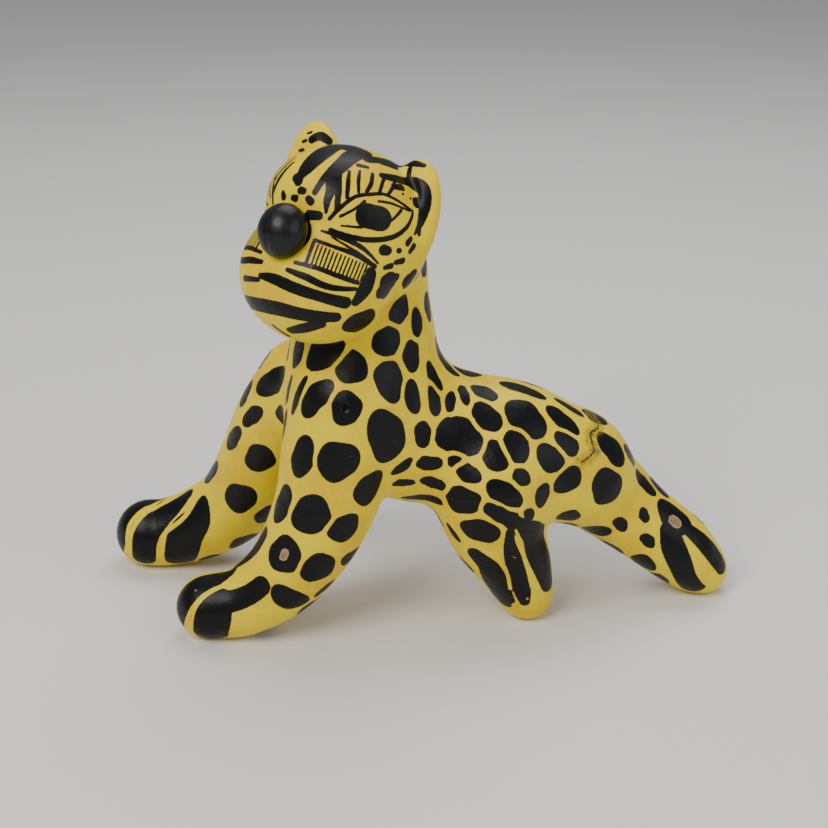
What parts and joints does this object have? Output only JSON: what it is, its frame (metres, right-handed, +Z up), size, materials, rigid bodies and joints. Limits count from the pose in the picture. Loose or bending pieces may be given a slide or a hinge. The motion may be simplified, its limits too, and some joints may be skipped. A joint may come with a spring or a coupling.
{
  "type": "alebrije wild cat figure",
  "caption": "Hand-painted folk-art spotted wild cat standing with splayed forelegs and turned head, built of pegged carved wood pieces, with a pull-out tail.",
  "frame": {"origin": "on the resting plane, under the middle of the figure's bounding box", "axes": "+Z up, the animal's chest towards -X and its left side towards -Y"},
  "size_m": [0.2103, 0.0795, 0.157],
  "materials": {
    "painted_skin": "hand-brushed satin yellow and black paint over wood",
    "nose_gloss": "glossy black lacquer",
    "bare_wood": "unpainted carved softwood",
    "nail_steel": "plain wire nail",
    "sawdust_paste": "dried glue and sawdust paste"
  },
  "bodies": {
    "figure": {"body": "painted_skin", "head": "painted_skin", "ear_left": "painted_skin", "ear_right": "painted_skin", "nose": "nose_gloss", "leg_front_left": "painted_skin", "leg_front_right": "painted_skin", "leg_hind_left": "painted_skin", "leg_hind_right": "painted_skin", "neck_dowel": "bare_wood", "dowel_front_left": "bare_wood", "dowel_front_right": "bare_wood", "dowel_hind_left": "bare_wood", "dowel_hind_right": "bare_wood", "ear_peg_left": "bare_wood", "ear_peg_right": "bare_wood", "nose_peg": "bare_wood", "shoulder_nails": "nail_steel", "paste_neck": "sawdust_paste", "paste_front_left": "sawdust_paste", "paste_front_right": "sawdust_paste", "paste_hind_left": "sawdust_paste", "paste_hind_right": "sawdust_paste"},
    "tail": {"tail": "painted_skin"}
  },
  "joints": [
    {"name": "tail_pull", "type": "slide", "parent": "figure", "child": "tail", "axis": [0, 0.96, 0.28], "range_m": [0, 0.015]}
  ]
}
